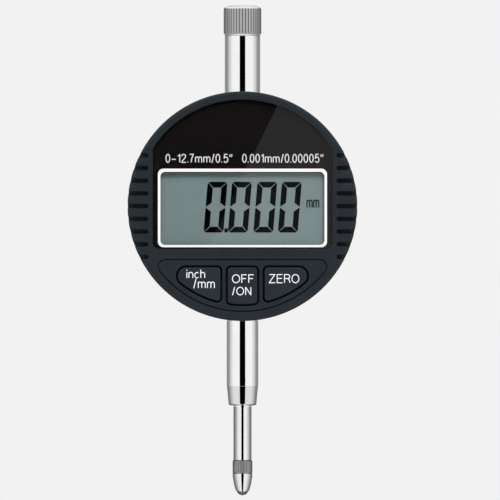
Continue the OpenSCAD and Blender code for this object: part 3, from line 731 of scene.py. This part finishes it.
INK = 0.02
INK_FRONT, INK_DEPTH = LENS_BACK, INK - 0.003
finish_piece("lens", plate("lens", window_loop, LENS_Y, LENS_BACK - INK - 0.01, 0.15, 0.05),
             "lens", "case", ["window_lens"])
finish_piece("mask", plate("mask", window_loop, LENS_BACK + INK, MASK_BACK,
                           hole=growing_box(*OPENING), hole_round=0.04),
             "mask", "case", ["window_mask"])
finish_piece("white_line", plate("white_line", growing_box(*LINE_OUTSIDE), INK_FRONT,
                                 INK_FRONT + INK_DEPTH, hole=growing_box(*LINE_INSIDE)),
             "white", "case")
RANGE_LOW, RANGE_HIGH, RANGE_STROKE = 10.75, 13.0, 0.25
for side, words, x0, x1 in (("left", "0-12.7mm/0.5\"", -19.1, -2.5),
                            ("right", "0.001mm/0.00005\"", -0.1, 20.1)):
    legend("range_" + side, words, x0, x1, RANGE_LOW, RANGE_HIGH, INK_FRONT, INK_DEPTH,
           RANGE_STROKE, "grey", "case")

# ---------------------------------------------------------------- display

GLASS_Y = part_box("lcd_panel")[0].y / MM
GLASS_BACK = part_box("lcd_panel")[1].y / MM
SEGMENT_Y = GLASS_Y + 0.01
REFLECTOR_Y = GLASS_Y + 0.1
SEGMENT_DEPTH = 0.02
REFLECTOR = (-22.0, 22.0, -10.64, 9.96, 0.3)
finish_piece("display_reflector", plate("display_reflector", growing_box(*REFLECTOR), REFLECTOR_Y,
                                        GLASS_BACK, 0.05),
             "reflector", "case", ["lcd_panel"])

DIGIT_W, DIGIT_H, DIGIT_LOW = 4.9, 12.55, -6.5
DIGIT_X = (-9.65, -3.6, 2.7, 8.8)
BAR, GAP, MIDDLE_GAP, NOTCH, SLANT, CORNER = 1.38, 0.26, 0.3, 0.95, 0.082, 0.55


def digit_bars():
    """The six bars of a zero in its own upright cell, as outlines."""
    w, h, t, g = DIGIT_W, DIGIT_H, BAR, GAP * 0.7
    c, low = CORNER, h / 2 + MIDDLE_GAP / 2
    top = [(g + 0.18 * c, h - 0.35 * c), (g + 0.5 * c, h - 0.1 * c), (g + 1.1 * c, h),
           (w - g - 1.1 * c, h), (w - g - 0.5 * c, h - 0.1 * c), (w - g - 0.18 * c, h - 0.35 * c),
           (w - t - g, h - t), (t + g, h - t)]
    upright = [(0, h - g - 1.1 * c), (0.1 * c, h - g - 0.5 * c), (0.35 * c, h - g - 0.18 * c),
               (t, h - t - g), (t, low + NOTCH), (0.16, low + 0.06), (0.04, low + 0.1),
               (0, low + 0.2)]
    flipped = [[(x, h - z) for x, z in bar] for bar in (top, upright)]
    mirrored = [[(w - x, z) for x, z in bar] for bar in (upright, flipped[1])]
    return [top, flipped[0], upright, mirrored[0], flipped[1], mirrored[1]]


def flat_bars(name, bars, front, depth):
    """Thin raised shapes from outlines, as one mesh."""
    points, faces = [], []
    for bar in bars:
        first, size = len(points), len(bar)
        back = first + size
        points += [(x, front, z) for x, z in bar] + [(x, front + depth, z) for x, z in bar]
        faces.append(tuple(range(first, back)))
        faces.append(tuple(range(back + size - 1, back - 1, -1)))
        faces += [(first + i, back + i, back + (i + 1) % size, first + (i + 1) % size)
                  for i in range(size)]
    return mesh_from(name, points, faces)


bars = []
for x in DIGIT_X:
    bars += [[(x + px + SLANT * pz, DIGIT_LOW + pz) for px, pz in bar] for bar in digit_bars()]
bars.append([(-4.5, -6.45), (-3.66, -6.45), (-3.6, -5.5), (-4.44, -5.5)])  # the decimal point
finish_piece("display_digits", flat_bars("display_digits", bars, SEGMENT_Y, SEGMENT_DEPTH),
             "segment", "case", weighted=False)
UNIT_X0, UNIT_X1, UNIT_LOW, UNIT_HIGH, UNIT_STROKE = 15.9, 19.1, -0.45, 2.5, 0.30
legend("display_unit", "mm", UNIT_X0, UNIT_X1, UNIT_LOW, UNIT_HIGH, SEGMENT_Y, SEGMENT_DEPTH,
       UNIT_STROKE, "segment_pale", "case")

# ---------------------------------------------------------------- keys

KEY_TOP, KEY_ARC, KEY_FILLET, KEY_END_R = -15.1, 24.4, 0.9, 2.2
KEY_IN, MID_HALF = 5.4, 3.75
KEY_FACE, KEY_INSET, KEY_ROUND = KEY_Y + INK, 0.08, 0.3
KEY_BACK, FLANGE_Y, FLANGE_WIDE = -8.6, -9.35, 0.7
PLUNGER_R, PLUNGER_LENGTH, PLUNGER_Y = 1.2, 2.35, -7.475
LEGEND_STROKE = 0.22


def corner_z(cx, f, r):
    return -math.sqrt((r - f) ** 2 - cx ** 2)


def middle_loop(grow):
    r, f, half = KEY_ARC + grow, KEY_FILLET + grow, MID_HALF + grow
    cx = half - f
    cz = corner_z(cx, f, r)
    turn = math.degrees(math.atan2(cz, cx))
    return (arc(0, 0, r, -180 - turn, turn, 12) + arc(cx, cz, f, turn, 0, 6)[1:]
            + arc(cx, KEY_TOP + grow - f, f, 0, 90, 8) + arc(-cx, KEY_TOP + grow - f, f, 90, 180, 8)
            + arc(-cx, cz, f, 180, 180 - turn, 6)[:-1])


def side_loop(side):
    def loop(grow):
        r, f, e = KEY_ARC + grow, KEY_FILLET + grow, KEY_END_R + grow
        cx = KEY_IN - grow + f
        cz = corner_z(cx, f, r)
        start = math.degrees(math.atan2(cz, cx))
        ez = KEY_TOP + grow - e
        ex = math.sqrt((r - e) ** 2 - ez ** 2)
        stop = math.degrees(math.atan2(ez, ex))
        points = (arc(cx, cz, f, -180, start, 6)[:-1] + arc(0, 0, r, start, stop, 24)
                  + arc(ex, ez, e, stop, 90, 14)[1:]
                  + arc(cx, KEY_TOP + grow - f, f, 90, 180, 8))
        return points if side > 0 else [(-x, z) for x, z in reversed(points)]
    return loop


def key(name, loop, px, pz):
    """A key cap with a soft front edge, its flange and its plunger."""
    parts = [plate(name, lambda g: loop(g - KEY_INSET), KEY_FACE, KEY_BACK - 0.7, KEY_ROUND,
                   steps=6),
             plate(name + "_flange", lambda g: loop(FLANGE_WIDE + g), FLANGE_Y, KEY_BACK,
                   0.08, 0.08)]
    bm = bmesh.new()
    for mesh in parts:
        bm.from_mesh(mesh)
    rod = bmesh.ops.create_cone(bm, cap_ends=True, segments=32, radius1=PLUNGER_R * MM,
                                radius2=PLUNGER_R * MM, depth=PLUNGER_LENGTH * MM)["verts"]
    bmesh.ops.rotate(bm, verts=rod, cent=(0, 0, 0), matrix=Matrix.Rotation(math.pi / 2, 3, "X"))
    bmesh.ops.translate(bm, verts=rod, vec=(px * MM, PLUNGER_Y * MM, (pz + CASE_Z) * MM))
    return finish_piece(name + "_cap", from_bmesh(name, bm), "key", name, [name])


KEYS = (("left", side_loop(-1), -10.75, -18.4), ("middle", middle_loop, 0, -19.6),
        ("right", side_loop(1), 10.75, -18.4))
for which, loop, px, pz in KEYS:
    key("key_" + which, loop, px, pz)
for body, words, x0, x1, z0, z1 in (
        ("key_left", "inch", -13.9, -9.25, -17.9, -15.65),
        ("key_left", "/mm", -12.2, -6.85, -20.4, -18.0),
        ("key_middle", "OFF", -2.6, 2.87, -19.1, -16.9),
        ("key_middle", "/ON", -2.57, 2.19, -22.1, -20.0),
        ("key_right", "ZERO", 6.5, 14.1, -19.1, -16.85)):
    legend("legend_" + words.strip("/").lower(), words, x0, x1, z0, z1, KEY_Y, INK + 0.01,
           LEGEND_STROKE, "legend", body)

# ---------------------------------------------------------------- stem, tube and cap

STEM_LOW, STEM_TOP = -44.8, -28.5
NOSE_LOW = -49.6
finish_piece("stem_tube", turned("stem_tube", [
    (3.02, STEM_LOW), (3.98, STEM_LOW), (4.0, STEM_LOW + 0.03), (4.0, STEM_TOP),
    (3.8, STEM_TOP), (3.8, -25.5), (3.5, -25.5), (3.5, -19.5), (2.6, -19.5), (2.6, -30.3),
    (3.02, -30.3)], 160),
    "chrome", "case", ["stem"])
finish_piece("stem_nose", turned("stem_nose", [
    (2.28, NOSE_LOW + 0.15), (2.4, NOSE_LOW), (2.85, NOSE_LOW)]
    + bow(2.85, NOSE_LOW + 0.6, 0.70, 0.6, -90, -7, 8)[1:]
    + [(3.93, STEM_LOW - 0.005), (3.92, STEM_LOW), (3.0, STEM_LOW), (3.0, -30.3),
       (2.28, -30.3)], 160),
    "nose", "case", ["lower_bush"])

TUBE_TOP = 42.5
finish_piece("top_tube", turned("top_tube", [
    (2.8, 19.5), (3.5, 19.5), (3.5, 25.5), (4.475, 25.5), (4.475, TUBE_TOP - 0.08),
    (4.42, TUBE_TOP), (3.8, TUBE_TOP), (3.8, 46.8), (2.8, 46.8)], 160),
    "chrome", "case", ["upper_tube"])

CAP_TOP, CAP_TEETH = 49.95, 38
NO_CUT = 1e-6  # a ring of the knurl that isn't cut
KNURL_LOW, KNURL_HIGH = 43.02, 49.25
cap_low = TUBE_TOP + 0.02
cap_profile = [(3.82, cap_low), (4.40, cap_low), (4.45, cap_low + 0.03), (4.47, cap_low + 0.1),
               (4.50, cap_low + 0.2), (4.55, cap_low + 0.32), (4.62, cap_low + 0.42),
               (CAP_R, KNURL_LOW)]
TAPER = ((0.02, 0.0), (0.07, 0.5), (0.13, 0.85), (0.22, 1.0))
cap_profile += [(CAP_R, KNURL_LOW + step, CAP_DEPTH * share + NO_CUT) for step, share in TAPER]
CROWN_X, CROWN_LOW = 3.0, 48.95


def crown_r(z):
    """Radius of the cap where its top edge rolls over."""
    t = max(z - CROWN_LOW, 0) / (CAP_TOP - CROWN_LOW)
    return CROWN_X + (CAP_R - CROWN_X) * math.sqrt(max(1 - t * t, 0))


cap_profile.append((CAP_R, CROWN_LOW, CAP_DEPTH))
for step, share in reversed(TAPER):
    r = crown_r(KNURL_HIGH - step)
    cap_profile.append((r, KNURL_HIGH - step, max(CAP_DEPTH - (CAP_R - r), 0) * share + NO_CUT))
crown_start = math.asin((KNURL_HIGH - CROWN_LOW) / (CAP_TOP - CROWN_LOW))
for i in range(1, 13):
    turn = crown_start + (math.pi / 2 - crown_start) * i / 12
    z = CROWN_LOW + (CAP_TOP - CROWN_LOW) * math.sin(turn)
    cap_profile.append((crown_r(z), z))
cap_profile += [(0, CAP_TOP), (0, 48.7), (3.0, 48.7), (3.0, 47.0), (3.82, 47.0)]
cap = finish_piece("cap_body", turned("cap_body", cap_profile, CAP_TEETH * 16, CAP_TEETH),
                   "knurl", "case", ["dust_cap"], sharp=KNURL_SHARP)
cap.data.materials.append(mats["cap"])
for face in cap.data.polygons:
    height = face.center.z / MM - CASE_Z
    if height < KNURL_LOW or height > KNURL_HIGH:
        face.material_index = 1

# ---------------------------------------------------------------- spindle and contact

SPINDLE_LOW, SPINDLE_TOP = -63.2, 33.0
finish_piece("spindle_rod", turned("spindle_rod", [
    (0, SPINDLE_LOW + 6.2), (1.25, SPINDLE_LOW + 5.8), (1.25, SPINDLE_LOW), (2.15, SPINDLE_LOW),
    (2.22, SPINDLE_LOW + 0.03), (2.25, SPINDLE_LOW + 0.1), (2.25, SPINDLE_TOP - 0.4),
    (1.85, SPINDLE_TOP), (0, SPINDLE_TOP)], 128),
    "chrome", "spindle", ["spindle"])

COLLAR_LOW, CONE_LOW = -66.6, -71.0
TEETH, TOOTH, COLLAR_R = 32, 0.1, 2.475
collar = [(1.2, SPINDLE_LOW - 0.02), (2.2, SPINDLE_LOW - 0.02), (2.34, SPINDLE_LOW - 0.1)]
collar += [(COLLAR_R, SPINDLE_LOW - 0.25, NO_CUT), (COLLAR_R, SPINDLE_LOW - 0.36, TOOTH),
           (COLLAR_R, COLLAR_LOW + 0.36, TOOTH), (COLLAR_R, COLLAR_LOW + 0.25, NO_CUT)]
collar += [(2.37, COLLAR_LOW + 0.05), (1.2, COLLAR_LOW + 0.05)]
finish_piece("contact_collar", turned("contact_collar", collar, TEETH * 12, TEETH), "collar",
             "spindle", ["contact_point"], sharp=KNURL_SHARP)
finish_piece("contact_cone", turned("contact_cone", [
    (0, SPINDLE_LOW + 4.9), (0.9, SPINDLE_LOW + 4.9), (1.18, SPINDLE_LOW + 4.6)]
    + [(r, COLLAR_LOW + step) for r, step in (
        (1.18, 0.04), (2.34, 0.04), (2.42, 0), (2.455, -0.08), (2.47, -0.3), (2.46, -0.6),
        (2.41, -1.0), (2.33, -1.5), (2.22, -2.1), (2.10, -2.7), (1.96, -3.3), (1.80, -3.8))]
    + [(1.64, CONE_LOW + 0.12), (1.58, CONE_LOW + 0.03), (1.50, CONE_LOW), (1.36, CONE_LOW),
       (0, CONE_LOW + 0.5)], 128),
    "point", "spindle", ["contact_point"])
BALL_R, BALL_Z = 1.5, -70.5
finish_piece("ball_tip", turned("ball_tip", [(0, BALL_Z - BALL_R)]
                                + arc(0, BALL_Z, BALL_R, -90, 90, 30)[1:-1]
                                + [(0, BALL_Z + BALL_R)], 96),
             "ball", "spindle", ["contact_ball"])

# ---------------------------------------------------------------- back

finish_piece("back_cover", softened("back_cover", "rear_cover", 0.15), "cover", "case",
             ["rear_cover"])
finish_piece("cell_door", softened("cell_door", "battery_door", 0.12), "cover", "battery_door",
             ["battery_door"])
finish_piece("back_screws", softened("back_screws", "rear_cover_screws", 0.08), "screw", "case",
             ["rear_cover_screws"])

# ---------------------------------------------------------------- inside

for node, name, material, slot, width in (
        ("chassis_frame", "frame_casting", "zinc", "frame_zinc", 0.1),
        ("guide_rail", "rail_plate", "nose", "satin_steel", 0.06),
        ("slider_clamp", "clamp_block", "zinc", "frame_zinc", 0.12)):
    finish_piece(name, softened(name, node, width), material,
                 frame["nodes"][node]["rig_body"], [node])


def coil(name, r, wire, turns, low, length, steps=36, sides=10):
    """Round wire wound about the spindle, close at its ends."""
    points, faces = [], []
    half = wire / 2
    pitch = wire * 1.1
    rest = length - wire - 2 * pitch
    count = turns * steps
    for i in range(count + 1):
        t = i / steps
        h = pitch * t if t < 1 else (length - wire - pitch * (turns - t) if t > turns - 1
                                     else pitch + rest * (t - 1) / (turns - 2))
        a = 2 * math.pi * t
        for k in range(sides):
            b = 2 * math.pi * k / sides
            q = r + half * math.cos(b)
            points.append((q * math.cos(a), q * math.sin(a), low + half + h + half * math.sin(b)))
    for i in range(count):
        for k in range(sides):
            m = (k + 1) % sides
            faces.append((i * sides + k, i * sides + m, (i + 1) * sides + m, (i + 1) * sides + k))
    faces.append(tuple(range(sides)))
    faces.append(tuple(count * sides + k for k in range(sides)))
    return mesh_from(name, points, faces)


SPRING_LOW, SPRING_TOP, SPRING_R, WIRE, TURNS = -9.9, 19.0, 2.78, 0.34, 15
spring = finish_piece("spring_coil", coil("spring_coil", SPRING_R, WIRE, TURNS, SPRING_LOW,
                                          SPRING_TOP - SPRING_LOW),
                      "spring", "case", ["return_spring"], weighted=False)
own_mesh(spring)

DOME_BACK, DOME_SIDES = -5.7, 40
DOME = [(2.5, 0.0), (2.5, -0.12), (2.1, -0.24), (1.7, -0.36), (1.3, -0.45), (0.8, -0.485),
        (0, -0.5), (0, -0.35), (0.8, -0.335), (1.2, -0.3), (1.7, -0.2), (2.25, 0.0)]
for which, _, px, pz in KEYS:
    mesh = turned("dome_" + which, DOME, DOME_SIDES)
    for vert in mesh.vertices:  # laid down from the spindle's axis onto the key's
        x, y, z = vert.co
        vert.co = (px * MM + y, (DOME_BACK - CASE_Z) * MM + z, (CASE_Z + pz) * MM + x)
    dome = finish_piece("dome_" + which, mesh, "spring", "case",
                        ["switch_dome_" + which], weighted=False)
    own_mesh(dome)

for node, material in {
        "lcd_holder": "inner", "zebra_strips": "pink_rubber", "main_board": "board",
        "controller_chip": "epoxy", "board_components": "ceramic", "frame_screws": "screw",
        "upper_bush": "bronze", "slider_board": "board", "guide_pin": "chrome",
        "rail_screws": "screw", "stroke_bumper": "rubber", "battery_cell": "cell",
        "battery_contact_minus": "nickel", "battery_contact_plus": "nickel"}.items():
    for material_slot in frame["nodes"][node].material_slots:
        material_slot.material = mats[material]

# ---------------------------------------------------------------- studio

scene = bpy.context.scene
scene.view_settings.view_transform = "Standard"

CAMERA_X, CAMERA_Z, CAMERA_AWAY, FRAME_W = 1.87, -10.87, 2500.0, 124.6
SENSOR = 36.0
camera = added("camera", bpy.data.cameras.new("camera"))
camera.location = (CAMERA_X * MM, -CAMERA_AWAY * MM, (CASE_Z + CAMERA_Z) * MM)
camera.rotation_euler = (math.radians(90), 0, 0)
camera.data.sensor_width = SENSOR
camera.data.lens = SENSOR * CAMERA_AWAY / FRAME_W
camera.data.clip_start, camera.data.clip_end = 0.1, 100.0
scene.camera = camera

BACKDROP, FILL = 0.887, 0.42


def sun_lamp(name, strength, size, height, side, front):
    """A sun at angles above the horizon and to the right, in front (-1) or behind (1).

    Returns its light on the floor.
    """
    data = bpy.data.lights.new(name, "SUN")
    data.energy = strength
    data.angle = math.radians(size)
    lamp = added(name, data)
    lamp.visible_glossy = False
    height, side = math.radians(height), math.radians(side)
    towards = Vector((math.sin(side) * math.cos(height), front * math.cos(side) * math.cos(height),
                      math.sin(height)))
    lamp.rotation_mode = "QUATERNION"
    lamp.rotation_quaternion = towards.to_track_quat("Z", "Y")
    return strength * math.sin(height)


# The key light, and a weak light from behind for the back of the case.
on_floor = sun_lamp("key_light", strength=3.2, size=26.0, height=42.0, side=14.0, front=-1)
on_floor += sun_lamp("back_light", strength=1.6, size=30.0, height=24.0, side=28.0, front=1)

scene.world = world = bpy.data.worlds.new("studio")
n = Nodes("studio", world)
around, height = n.from_front()
# The dark gap between the two front soft boxes is a little wider low down, and stops below them.
for start, stop, degrees in ((0.019, -0.010, 2.4), (-0.05, -0.2, 1.0), (-0.44, -0.54, -23.0)):
    around = n.math("SUBTRACT", around, n.remap(height, start, stop, 0.0, degrees / 180))
# Light at angles from the front, then where the light overhead and the shade beneath take over.
STUDIO = ((0.0, 0.0), (17.4, 0.0), (18.4, 0.93), (66.0, 0.93), (84.0, 0.70), (94.0, 0.61),
          (102.0, 0.44), (114.0, 0.29), (136.0, 0.24), (150.0, 0.30), (158.0, 0.80), (170.0, 0.80),
          (173.0, 0.10), (180.0, 0.10))
OVERHEAD, OVERHEAD_LIGHT = (0.40, 0.56), (0.93, 0.93, 0.93)
BENEATH, BENEATH_LIGHT = (-0.9, -0.97), (0.35, 0.35, 0.35)


def by_angle(levels):
    return [(angle / 180, (level,) * 3) for angle, level in levels]


lit = n.blend(n.remap(height, *OVERHEAD, 0, 1), n.ramp(around, by_angle(STUDIO)), OVERHEAD_LIGHT)
reflected = n.add("ShaderNodeBackground")
n.link(n.blend(n.remap(height, *BENEATH, 0, 1), lit, BENEATH_LIGHT), reflected.inputs["Color"])
path = n.add("ShaderNodeLightPath").outputs
bounced = n.mix(path["Is Glossy Ray"], n.grey("ShaderNodeBackground", FILL), reflected)
n.mix(path["Is Camera Ray"], bounced, n.grey("ShaderNodeBackground", BACKDROP))
world.cycles.sampling_method = "NONE"

FLOOR_DROP, FLOOR_R = 24.0, 9000.0
FLOOR_SHADE = BACKDROP / (FILL + on_floor / math.pi)
floor_z = cad_box[0].z / MM - CASE_Z - FLOOR_DROP
floor_mesh = mesh_from("floor", [(x, y, floor_z) for x, y in arc(0, 0, FLOOR_R, 0, 358, 179)],
                       [tuple(range(180))])
if floor_mesh.polygons[0].normal.z < 0:
    floor_mesh.flip_normals()
floor = added("floor", floor_mesh)
n = Nodes("floor_paper")
paper = n.principled(None, n.remap(n.noise(40.0), 0.3, 0.7, 0.9, 1.0), n.bump(n.noise(2.0), 0.01),
                     Base_Color=(FLOOR_SHADE, FLOOR_SHADE, FLOOR_SHADE, 1), Specular_IOR_Level=0.0)
n.mix(n.add("ShaderNodeNewGeometry").outputs["Backfacing"], paper,
      n.grey("ShaderNodeBsdfTransparent", 1))
floor_mesh.materials.append(n.material)
floor.visible_glossy = False

# A pale card in front of the window gives the glossy lens its slanting reflection.
CARD_AWAY, CARD_LEVEL = 300.0, 0.22
CARD = ((9.41, 29.1), (10.3, 31.0), (38.0, 31.0), (38.0, -11.0), (-10.35, -11.0))
card = added("window_card", mesh_from(
    "window_card", [(x, LENS_Y - CARD_AWAY, z) for x, z in CARD], [tuple(range(len(CARD)))]))
n = Nodes("card_glow")
n.surface(n.grey("ShaderNodeEmission", CARD_LEVEL))
n.material.cycles.emission_sampling = "NONE"
card.data.materials.append(n.material)
card.visible_camera = card.visible_diffuse = card.visible_shadow = False


def light_tent(name, r, low, high, levels):
    """An open tube that only reflections see. levels gives its light at angles from the front."""
    sides = 120
    ring = arc(0, 0, r, 0, 360 - 360 / sides, sides - 1)
    tube = added(name, mesh_from(
        name, [(x, y, z) for z in (low, high) for x, y in ring],
        [(i, (i + 1) % sides, sides + (i + 1) % sides, sides + i) for i in range(sides)]))
    n = Nodes(name + "_glow")
    glow = n.surface(n.add("ShaderNodeEmission"))
    n.link(n.ramp(n.from_front()[0], by_angle(levels)), glow.inputs["Color"])
    n.material.cycles.emission_sampling = "NONE"
    tube.data.materials.append(n.material)
    tube.visible_camera = tube.visible_diffuse = tube.visible_shadow = False
    tube.visible_transmission = False
    return tube


# The spindle's sides are darker in the photograph than the stem's; the cap shows no dark stripe.
spindle_tent = light_tent("spindle_tent", 6.0, -95.0, -50.0, (
    (0.0, 0.0), (11.5, 0.0), (12.5, 0.93), (30.0, 0.91), (46.0, 0.80), (60.0, 0.62), (75.0, 0.42),
    (90.0, 0.22), (110.0, 0.16), (148.0, 0.16), (156.0, 0.70), (170.0, 0.70), (174.0, 0.12)))
cap_tent = light_tent("cap_tent", 10.0, 42.62, 52.4, (
    (0.0, 0.93), (50.0, 0.88), (70.0, 0.50), (90.0, 0.24), (110.0, 0.12), (148.0, 0.12),
    (156.0, 0.60), (170.0, 0.60), (174.0, 0.15)))
